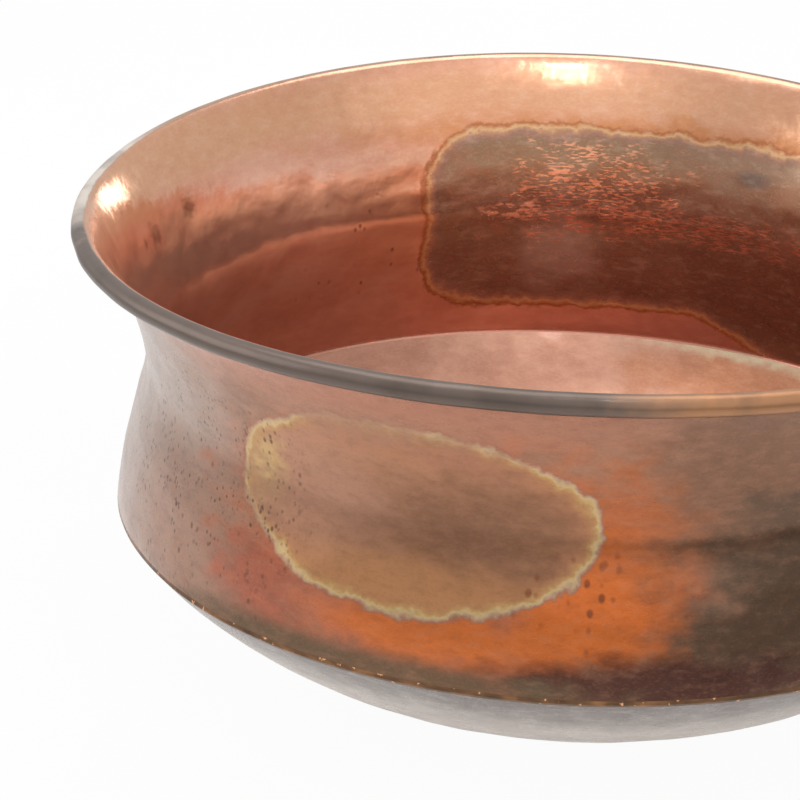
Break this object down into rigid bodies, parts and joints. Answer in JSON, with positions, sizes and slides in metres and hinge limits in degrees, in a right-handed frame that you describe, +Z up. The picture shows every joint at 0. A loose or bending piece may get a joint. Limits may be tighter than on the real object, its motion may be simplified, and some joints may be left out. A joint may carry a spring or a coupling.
{
  "type": "bowl",
  "caption": "Open hammered copper bowl with a flared rim rolled round a wire, a waisted wall and a dished base joined along a ridge.",
  "frame": {"origin": "centre of the flat foot that the bowl stands on", "axes": "+Z up along the bowl's axis, from the foot to the open mouth; +X and +Y level"},
  "size_m": [0.3999, 0.4, 0.18],
  "materials": {
    "wall_copper": "hammered copper, heat-tinted, satin to semi-gloss",
    "base_copper": "hammered copper, dull brown outside, pink inside",
    "rim_iron": "dark iron wire",
    "braze": "brazing brass, filed flush and tarnished"
  },
  "bodies": {
    "root": {"wall_sheet": "wall_copper", "base_pan": "base_copper", "rim_wire": "rim_iron", "base_seam": "braze", "side_seam": "braze"}
  },
  "joints": []
}
